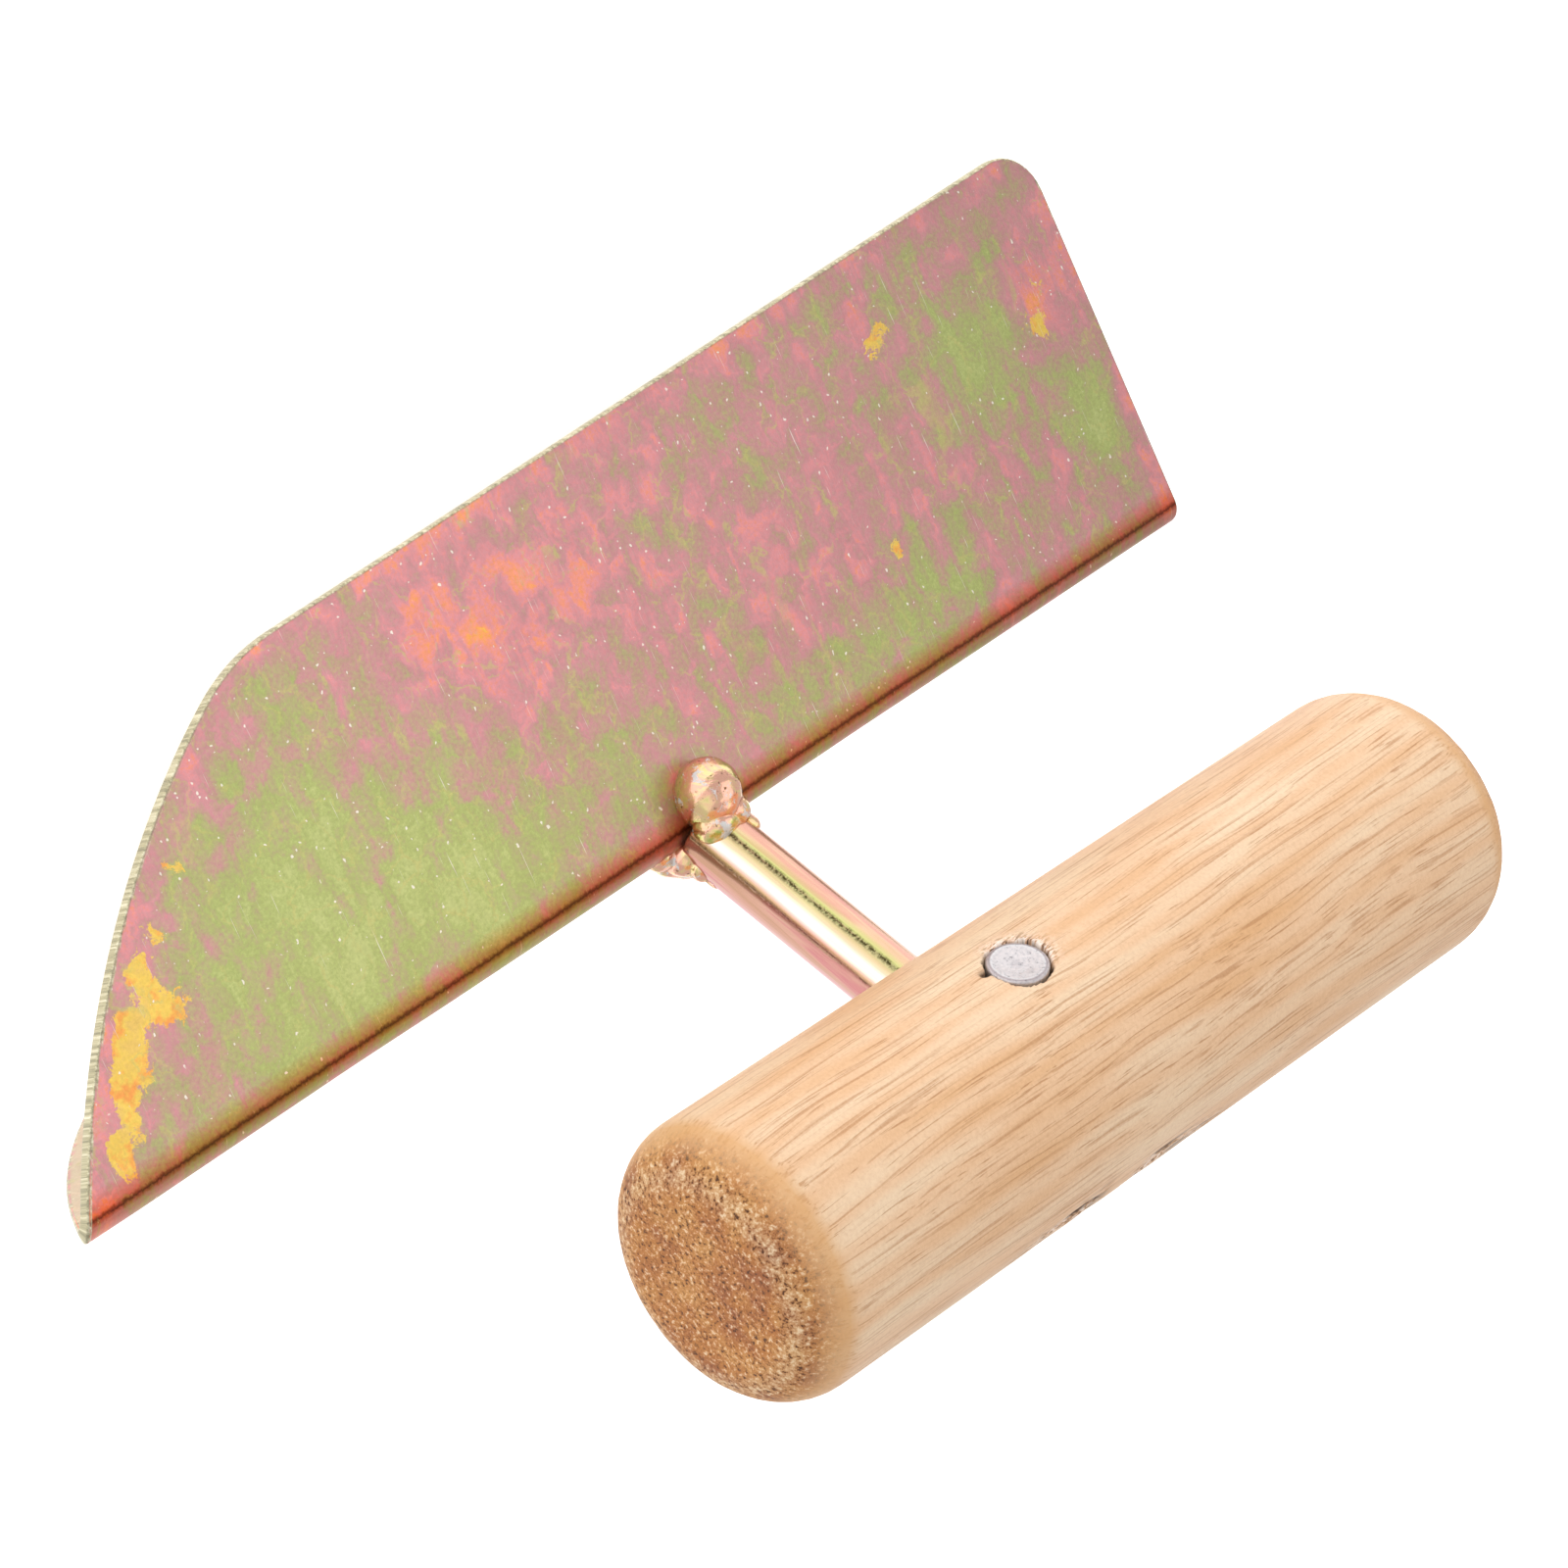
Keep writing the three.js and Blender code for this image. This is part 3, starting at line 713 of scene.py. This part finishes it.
def handle_patches(s, pin):
    """A turned profile carried round the axis. The profile runs from the middle of one end face
    out to a quarter round, along the side and back in; stations crowd together near the bar.
    Bores are round wells sunk into the side, with torn fibres round the pin. Just beyond the
    top, over the end of the bar, long fibres have split off."""
    end, flat = s.whole / 2, s.radius - s.rounding
    bar_at = -s.shift
    top, bottom, side = math.radians(105), 1.5 * math.pi, -s.pin_lean

    def gap_along(place):
        away = np.abs(place - bar_at)
        return MM * (0.2 + 2.0 * ramp(6 * MM, 22 * MM, away))

    def gap_round(bearing):
        away = np.min([np.abs((bearing - at + math.pi) % TAU - math.pi)
                       for at in (top, bottom, side)], axis=0) * s.radius
        return (0.2 + 0.9 * ramp(5.5 * MM, 8 * MM, away)) * MM / s.radius

    turn = np.linspace(0, math.pi / 2, 12)
    cap_rows = 11
    quarter_r = flat + s.rounding * np.sin(turn)
    quarter_l = end - s.rounding * (1 - np.cos(turn))
    cap = np.linspace(0, flat, cap_rows + 1)[:-1]
    side_l = stations(-(end - s.rounding), end - s.rounding, gap_along)[1:-1]
    along_l = np.concatenate([np.full(cap_rows, -end), -quarter_l, side_l, quarter_l[::-1],
                              np.full(cap_rows, end)])
    along_r = np.concatenate([cap, quarter_r, np.full(len(side_l), s.radius), quarter_r[::-1],
                              cap[::-1]])
    lean = np.concatenate([np.zeros(cap_rows), turn, np.full(len(side_l), math.pi / 2), turn[::-1],
                           np.zeros(cap_rows)])
    bearing = stations(-math.pi / 2 + 0.6, 1.5 * math.pi + 0.6, gap_round)
    l, b = np.meshgrid(along_l, bearing, indexing="ij")
    r, n_r = along_r[:, None] + 0 * b, np.sin(lean)[:, None] + 0 * b
    n_l = np.cos(lean)[:, None] * np.sign(l)
    centre, along, near, up = handle_axes(s)
    local = np.stack([l, r * np.cos(b), r * np.sin(b)], -1)

    # small unevenness from sanding: long soft waves on the side, open grain on the ends
    coarse = 1 - n_r
    rise = -0.03 * MM * (1 + lumps(local * (0.12, 1, 1), 2.5 * MM, 41))
    rise -= coarse * 0.10 * MM * (1 + lumps(local, 0.9 * MM, 42))

    def well(at_l, at_b, radius, depth, ragged, seed):
        dl = l - at_l
        db = ((b - at_b + math.pi) % TAU - math.pi) * s.radius
        away = np.hypot(dl, db)
        bear = np.stack([dl, db, 0 * dl], -1) / np.maximum(away, 1e-9)[..., None]
        rough = radius + ragged * lumps(bear, 0.28, seed)
        inside = (n_r > 0.999) * (1 - ramp(rough - 0.05 * MM, rough + 0.15 * MM, away))
        return dl, db, away, depth * inside, inside

    # the bar stands upright in the tilted handle, so each well lies a little beyond bar_at
    pin_drift, bar_drift = 0.13 * MM, 0.56 * MM
    dl, db, away, deep_pin, in_pin = well(bar_at + pin_drift, side, radius=pin.head_bore,
                                          depth=2.2 * MM, ragged=0.16 * MM, seed=51)
    fibres = lumps(np.stack([0.25 * dl, db, 0 * dl], -1), 0.32 * MM, 52)
    torn = np.exp(-np.maximum(away - TORN_FROM, 0) / (0.75 * MM)) * (away < 8 * MM)
    torn *= ramp(-0.2, 0.9, (-0.8 * dl - 0.6 * db) / np.maximum(away, 1e-9))
    chip = torn * (0.42 * fibres - 0.22) * MM
    notch = 1.3 * MM * np.exp(-(((dl - 3.9 * MM) / (0.55 * MM)) ** 2
                                + ((db + 1.1 * MM) / (0.42 * MM)) ** 2))
    _, _, _, deep_low, in_low = well(bar_at + bar_drift, bottom, radius=BAR_BORE,
                                     depth=1.6 * MM, ragged=0.03 * MM, seed=53)
    tl, tb = l - bar_at, ((b - top + math.pi) % TAU - math.pi) * s.radius
    strands = lumps(np.stack([0.10 * tl, tb, 0 * tl], -1), 0.45 * MM, 55)
    split = np.exp(-(tb / (2.2 * MM)) ** 2) * (1 - ramp(7 * MM, 20 * MM, np.abs(tl + 2 * MM)))
    split *= (n_r > 0.999) * ramp(0.2, 0.7, np.abs(tl + 2 * MM) / (6 * MM))
    burst = split * (0.5 * strands - 0.35) * MM
    sunk = -(deep_pin + deep_low + notch * (n_r > 0.999))
    total = rise + sunk + (chip + burst) * (1 - np.maximum(in_pin, in_low))

    points = (centre + (l + total * n_l)[..., None] * along
              + (r + total * n_r)[..., None] * (np.cos(b)[..., None] * near
                                                + np.sin(b)[..., None] * up))
    # bore is painted shade: darker the deeper a well or the notch is sunk, and dark in the gaps
    # between split fibres
    bore = np.clip(np.maximum(-sunk / (0.8 * MM), 1.2 * split * (strands < -0.2)), 0, 1)
    torn = np.clip(1.6 * torn * (1 - in_pin) + 0.8 * split, 0, 1)
    return [(points, {"grain": local, "endgrain": 1 - n_r, "bore": bore, "torn": torn})]


def turned_beech(s):
    """Pale close-grained hardwood, turned, sanded and thinly oiled. The eye reads straight fine
    pore dashes along the handle, slow warm growth bands that swing in long curves, and a brown
    speckled end grain that has soaked up the finish."""
    material, add = new_material("turned_beech_thin_oil")
    grain = add("Attribute", attribute_name="grain")
    ends = add("Attribute", attribute_name="endgrain")
    bore = add("Attribute", attribute_name="bore")
    mm = add("VectorMath", (grain.outputs["Vector"], (1000, 1000, 1000)), operation="MULTIPLY")
    # growth bands 3 mm apart round a pith well outside the handle, bent by slow noise
    sway = add("VectorMath", (mm, (1 / 55, 1 / 14, 1 / 14)), operation="MULTIPLY")
    swing = add("TexNoise", {"Vector": sway, "Scale": 1.0, "Detail": 2.0, "Roughness": 0.5})
    bent = add("VectorMath", (swing.outputs["Color"], (0, 5, 5), mm), operation="MULTIPLY_ADD")
    pith = add("VectorMath", (bent, (0, 1, 1)), operation="MULTIPLY")
    reach = add("VectorMath", (pith, (0, 24, -30)), operation="DISTANCE")
    rings = add("Math", (reach.outputs["Value"], TAU / 3.1), operation="MULTIPLY")
    wave = add("Math", (rings,), operation="SINE")
    band = add("MapRange", {"Value": wave, "From Min": -0.6, "From Max": 1.0})
    broad = add("TexNoise", {"Vector": sway, "Scale": 1.7, "Detail": 2.0})
    warm = add("Math", (band, 0.20, broad), operation="MULTIPLY_ADD")
    wood = add("ValToRGB", {"Fac": warm}, stops=[(0.34, s.straw), (0.62, s.honey),
               (0.90, "#E6B482")])

    # long lines 0.3 mm wide and 30 mm long, short pores 0.2 by 10 mm, and a fine fuzz
    long = add("VectorMath", (bent, (1 / 30, 1 / 0.34, 1 / 0.34)), operation="MULTIPLY")
    streak = add("TexNoise", {"Vector": long, "Scale": 1.0, "Detail": 1.0, "Roughness": 0.5})
    streaks = add("MapRange", {"Value": streak, "From Min": 0.56, "From Max": 0.72, "To Max": 0.52})
    short = add("VectorMath", (bent, (1 / 10, 1 / 0.24, 1 / 0.24)), operation="MULTIPLY")
    dashes = add("TexNoise", {"Vector": short, "Scale": 1.0, "Detail": 2.0, "Roughness": 0.6})
    dash = add("MapRange", {"Value": dashes, "From Min": 0.61, "From Max": 0.70, "To Max": 0.62})
    fuzz = add("TexNoise", {"Vector": mm, "Scale": 1 / 0.4, "Detail": 3.0, "Roughness": 0.7})
    haze = add("MapRange", {"Value": fuzz, "From Min": 0.38, "From Max": 0.70, "To Max": 0.20})
    lined = add("Math", (dash, streaks), operation="MAXIMUM")
    lined = add("Math", (lined, haze), operation="ADD")
    streaked = add("Mix", {0: lined, 6: wood, 7: s.pores})

    # the rounding soaked up more finish: orange tan. The end grain is brown, redder in clouds of
    # 5 mm, with dark and pale cut pores 0.3 mm across, and a painted highlight as a pale rim
    # across its rounding, broken up by the pores
    turned = add("MapRange", {"Value": ends.outputs["Fac"], "From Min": 0.001, "From Max": 0.05,
                 "To Max": 0.75})
    tanned = add("Mix", {0: turned, 6: streaked, 7: "#DBA66C"})
    patch = add("TexNoise", {"Vector": mm, "Scale": 1 / 5, "Detail": 4.0, "Roughness": 0.6})
    heart = add("ValToRGB", {"Fac": patch}, stops=[(0.36, "#DAA566"), (0.50, s.end_wood),
                (0.66, "#AE6C40")])
    dots = add("TexNoise", {"Vector": mm, "Scale": 1 / 0.6, "Detail": 3.0, "Roughness": 0.75})
    specks = add("ValToRGB", {"Fac": dots}, stops=[(0.36, "#4E2E18"), (0.44, "#D8C4AC"),
                 (0.56, "#EEE2D0"), (0.64, "#FFFFFF")])
    dotted = add("Mix", {0: 1.0, 6: heart, 7: specks}, blend_type="MULTIPLY")
    light = add("MapRange", {"Value": dots, "From Min": 0.56, "From Max": 0.66, "To Max": 0.75})
    flecked = add("Mix", {0: light, 6: dotted, 7: "#F3DDBC"})
    cut = add("MapRange", {"Value": ends.outputs["Fac"], "From Min": 0.06, "From Max": 0.36,
              "To Max": 0.95})
    capped = add("Mix", {0: cut, 6: tanned, 7: flecked})
    # painted highlight: a pale band round the middle of the rounding, speckled by the pores
    painted_rim_highlight = add("ValToRGB", {"Fac": ends.outputs["Fac"]}, stops=[(0.30, (0, 0, 0, 1)),
               (0.55, (1, 1, 1, 1)), (0.85, (0, 0, 0, 1))])
    sanded = add("MapRange", {"Value": dots, "From Min": 0.40, "From Max": 0.60, "To Max": 0.55})
    sanded = add("Math", (painted_rim_highlight, sanded), operation="MULTIPLY")
    rimmed = add("Mix", {0: sanded, 6: capped, 7: "#E9CFA8"})

    # torn fibres: white and dark threads along the grain
    torn = add("Attribute", attribute_name="torn")
    threads = add("VectorMath", (mm, (0.9, 1 / 0.3, 1 / 0.3)), operation="MULTIPLY")
    thread = add("TexNoise", {"Vector": threads, "Scale": 1.0, "Detail": 2.0, "Roughness": 0.7})
    fibre = add("ValToRGB", {"Fac": thread}, stops=[(0.38, "#5A3A26"), (0.46, "#D9A67C"),
                (0.56, "#FFEFE2")])
    frayed = add("Mix", {0: torn.outputs["Fac"], 6: rimmed, 7: fibre})
    # painted shade: the wells, the notch and the gaps between split fibres turn near black
    shade = add("Mix", {0: bore.outputs["Fac"], 6: frayed, 7: "#2E1A0E"})

    rough = add("MapRange", {"Value": cut, "To Min": 0.48, "To Max": 0.72})
    side_height = add("Math", (lined, -0.5), operation="MULTIPLY")
    end_height = add("Math", (dots, cut), operation="MULTIPLY")
    heights = add("Math", (side_height, end_height), operation="ADD")
    bump = add("Bump", {"Strength": 0.5, "Distance": 0.0002, "Height": heights})
    shader = add("BsdfPrincipled", {"Base Color": shade, "Roughness": rough, "IOR": 1.45,
                 "Normal": bump})
    add("OutputMaterial", {"Surface": shader})
    return material


class VTOOL_OT_handle(bpy.types.Operator):
    """Build the turned wooden cross handle with its bores"""

    bl_idname = "vtool.handle"
    bl_label = "Handle"

    def execute(self, context):
        s = context.scene.vtool_handle
        piece("turned_handle", handle_patches(s, context.scene.vtool_pin), turned_beech(s),
              "handle")
        return {"FINISHED"}


# ---- cross pin -----------------------------------------------------------------------------


class PinSettings(bpy.types.PropertyGroup):
    """Sizes and colour of the cross pin."""

    shank: length(2.0, "Shank", "Radius of the shank")
    head: length(3.4, "Head", "Radius of the head")
    head_bore: length(3.62, "Head bore", "Radius of the well that the head sits in")
    depth: length(2.4, "Head depth", "Thickness of the head")
    proud: length(15.75, "Reach", "Distance from the handle's axis to the head's rim")
    past: length(9, "Past", "Length of the shank beyond the handle's axis")
    metal: colour("#CFCED0", "Metal", "Plain grey metal of the pin")


def pin_patches(s, handle):
    """A turned pin: shank, step out to the head, rounded rim and a hammered face that is dished
    in the middle, with a raised ring and lumps from the blows."""
    bearing = np.linspace(0, TAU, 121)
    turn = np.linspace(0, math.pi / 2, 7)
    lip = 0.35 * MM
    face = np.linspace(s.head - lip, 0, 26)[1:]
    radii = np.concatenate([[0, s.shank, s.shank, s.head - 0.1 * MM, s.head],
                            s.head - lip * (1 - np.cos(turn)), face])
    base = s.proud - s.depth
    heights = np.concatenate([[-s.past, -s.past, base, base, base + 0.1 * MM],
                              s.proud - lip * (1 - np.sin(turn)), np.full(len(face), s.proud)])
    w, b = np.meshgrid(heights, bearing, indexing="ij")
    r = radii[:, None] + 0 * b
    local = np.stack([r * np.cos(b), r * np.sin(b), 0 * b], -1)
    on_face = (w > s.proud - 0.2 * MM) * (r < s.head)
    dish = 0.24 * MM * (1 - ramp(0.15 * s.head, 0.84 * s.head, r))
    blows = 0.035 * MM * (lumps(local, 1.1 * MM, 61) + 0.5 * lumps(local, 0.35 * MM, 62))
    ring = 0.06 * MM * np.exp(-((r - 0.84 * s.head) / (0.16 * MM)) ** 2)
    w = w + on_face * (ring + blows - dish)
    centre = np.array([BAR_X, 0, FOLD_Z + handle.rise])
    out = np.array([0, -math.cos(handle.pin_lean), -math.sin(handle.pin_lean)])
    up = np.array([0, -math.sin(handle.pin_lean), math.cos(handle.pin_lean)])
    points = (centre + w[..., None] * out + (r * np.cos(b))[..., None] * (1, 0, 0)
              + (r * np.sin(b))[..., None] * up)
    return [(points, {"away": np.where(on_face, r / s.head, 0.5)})]


def hammered_pin(s):
    """Plain zinc-grey steel, headed cold. It looks soft grey with a mottled, lightly brushed face
    and a few dark nicks."""
    material, add = new_material("hammered_pin_steel")
    mm = object_mm(add)
    mottle = add("TexNoise", {"Vector": mm, "Scale": 1 / 0.35, "Detail": 4.0, "Roughness": 0.72})
    tint = add("ValToRGB", {"Fac": mottle}, stops=[(0.30, "#7E7A7E"), (0.42, s.metal),
               (0.66, "#DEDADA")])
    # painted highlight: a bright ring where the dish meets the rim, and painted shade: a dark line
    # round it
    away = add("Attribute", attribute_name="away")
    rings = add("ValToRGB", {"Fac": away.outputs["Fac"]}, stops=[(0.00, "#E4E0E2"),
                (0.30, "#FAF6F6"), (0.76, "#F6F2F2"), (0.83, "#FFFFFF"), (0.89, "#C2B6B8"),
                (0.95, "#F2ECEC")])
    tint = add("Mix", {0: 1.0, 6: tint, 7: rings}, blend_type="MULTIPLY")
    rough = add("MapRange", {"Value": mottle, "From Min": 0.3, "From Max": 0.7, "To Min": 0.5,
                "To Max": 0.34})
    bump = add("Bump", {"Strength": 0.4, "Distance": 0.0002, "Height": mottle})
    shader = add("BsdfPrincipled", {"Base Color": tint, "Metallic": 0.85, "Roughness": rough,
                 "Normal": bump})
    add("OutputMaterial", {"Surface": shader})
    return material


class VTOOL_OT_cross_pin(bpy.types.Operator):
    """Build the headed pin through the handle and the bar"""

    bl_idname = "vtool.cross_pin"
    bl_label = "Cross pin"

    def execute(self, context):
        s = context.scene.vtool_pin
        piece("headed_cross_pin", pin_patches(s, context.scene.vtool_handle), hammered_pin(s),
              "cross_pin")
        return {"FINISHED"}


# ---- stage ---------------------------------------------------------------------------------


class StageSettings(bpy.types.PropertyGroup):
    """Camera, lights and floor."""

    azimuth: angle(41.39, "Azimuth", "Bearing of the camera, from the near side to the nose")
    elevation: angle(20.80, "Elevation", "Height of the camera above the horizon")
    roll: angle(128.89, "Roll", "Turn of the camera about its view, as the tool hangs in the view")
    distance: length(614.4, "Distance", "Distance from the camera to the foot of the bar")
    off_right: length(-8.66, "Off right", "Foot of the bar, to the right of the view's middle")
    off_down: length(4.97, "Off down", "Foot of the bar, below the view's middle")
    focal: FloatProperty(name="Focal length", default=130.6,
                         description="Focal length on a 36 mm sensor, in millimetres")
    floor: colour("#F2F2F2", "Floor", "Plain pale floor")


def look_from(s):
    """Camera matrix: the view runs down from azimuth and elevation, is rolled about itself and
    set back so that the foot of the bar falls at its offset from the middle of the view."""
    view = -np.array([math.sin(s.azimuth) * math.cos(s.elevation),
                      -math.cos(s.azimuth) * math.cos(s.elevation), math.sin(s.elevation)])
    level = np.cross(view, (0, 0, 1))
    level /= np.linalg.norm(level)
    above = np.cross(level, view)
    right = math.cos(s.roll) * level + math.sin(s.roll) * above
    up = np.cross(right, view)
    foot = np.array([BAR_X, 0, FOLD_Z])
    place = foot - s.distance * view - s.off_right * right + s.off_down * up
    return Matrix(np.column_stack([right, up, -view, place]).tolist() + [[0, 0, 0, 1]])


# Name, direction, distance and width in metres, and power in watts of each lamp.
LAMPS = (("key", (-0.5, -0.55, 0.75), 0.9, 0.7, 1.0), ("fill", (0.8, -0.6, 0.3), 1.1, 0.9, 0.8),
         ("back", (-0.4, 0.9, 0.5), 1.1, 0.8, 0.8))
# Strength of the floor's own glow and of the even light from all round.
FLOOR_GLOW = 0.77
SKY_LIGHT = 0.70
FLOOR_RADIUS = 3


def soft_light(name, towards, distance, size, power):
    """A square area light at a distance from the tool, facing it."""
    data = bpy.data.lights.new(name, "AREA")
    data.size, data.energy = size, power
    lamp = bpy.data.objects.new(name, data)
    way = Vector(towards).normalized()
    lamp.matrix_world = Matrix.Translation(way * distance + Vector((0, 0, FOLD_Z))) \
        @ way.to_track_quat("Z", "Y").to_matrix().to_4x4()
    bpy.context.scene.collection.objects.link(lamp)


def plain_floor(s):
    """Matt white paper with a faint glow of its own, which softens the shadows."""
    material, add = new_material("plain_white_paper")
    shader = add("BsdfPrincipled", {"Base Color": s.floor, "Roughness": 0.9,
                 "Emission Color": (1, 1, 1, 1), "Emission Strength": FLOOR_GLOW})
    add("OutputMaterial", {"Surface": shader})
    return material


class VTOOL_OT_stage(bpy.types.Operator):
    """Set the floor, the soft lights and the camera"""

    bl_idname = "vtool.stage"
    bl_label = "Stage"

    def execute(self, context):
        s = context.scene.vtool_stage
        scene = context.scene
        mesh = bpy.data.meshes.new("floor")
        bearing = np.linspace(0, TAU, 65)[:-1]
        ring = FLOOR_RADIUS * np.stack([np.cos(bearing), np.sin(bearing), 0 * bearing], -1)
        mesh.from_pydata(ring, [], [list(range(len(ring)))])
        mesh.materials.append(plain_floor(s))
        floor = bpy.data.objects.new("floor", mesh)
        scene.collection.objects.link(floor)

        for lamp in LAMPS:
            soft_light(*lamp)
        world = bpy.data.worlds.new("studio")
        world.use_nodes = True
        sky = world.node_tree.nodes["Background"].inputs
        sky["Color"].default_value = (1, 1, 1, 1)
        sky["Strength"].default_value = SKY_LIGHT
        scene.world = world
        scene.view_settings.view_transform = "Standard"

        data = bpy.data.cameras.new("camera")
        data.lens, data.sensor_width = s.focal, 36
        data.clip_start, data.clip_end = 0.01, 20
        camera = bpy.data.objects.new("camera", data)
        camera.matrix_world = look_from(s)
        scene.collection.objects.link(camera)
        scene.camera = camera
        return {"FINISHED"}


# ---- add-on --------------------------------------------------------------------------------


class VTOOL_PT_panel(bpy.types.Panel):
    """Lists the pieces of the tool in the sidebar"""

    bl_idname = "VTOOL_PT_panel"
    bl_label = "V-bladed hand tool"
    bl_space_type = "VIEW_3D"
    bl_region_type = "UI"
    bl_category = "V tool"

    def draw(self, context):
        for operator in OPERATORS:
            self.layout.operator(operator.bl_idname)


SETTINGS = {
    "vtool_blade": BladeSettings,
    "vtool_bar": BarSettings,
    "vtool_weld": WeldSettings,
    "vtool_handle": HandleSettings,
    "vtool_pin": PinSettings,
    "vtool_stage": StageSettings,
}
OPERATORS = (VTOOL_OT_blade, VTOOL_OT_bar, VTOOL_OT_welds, VTOOL_OT_handle, VTOOL_OT_cross_pin,
             VTOOL_OT_stage)


def register():
    for kind in (*SETTINGS.values(), *OPERATORS, VTOOL_PT_panel):
        bpy.utils.register_class(kind)
    for name, kind in SETTINGS.items():
        setattr(bpy.types.Scene, name, PointerProperty(type=kind))


def unregister():
    for name in SETTINGS:
        delattr(bpy.types.Scene, name)
    for kind in (VTOOL_PT_panel, *reversed(OPERATORS), *reversed(SETTINGS.values())):
        bpy.utils.unregister_class(kind)


def main():
    register()
    bpy.ops.vtool.blade()
    bpy.ops.vtool.bar()
    bpy.ops.vtool.welds()
    bpy.ops.vtool.handle()
    bpy.ops.vtool.cross_pin()
    bpy.ops.vtool.stage()


if __name__ == "__main__":
    main()
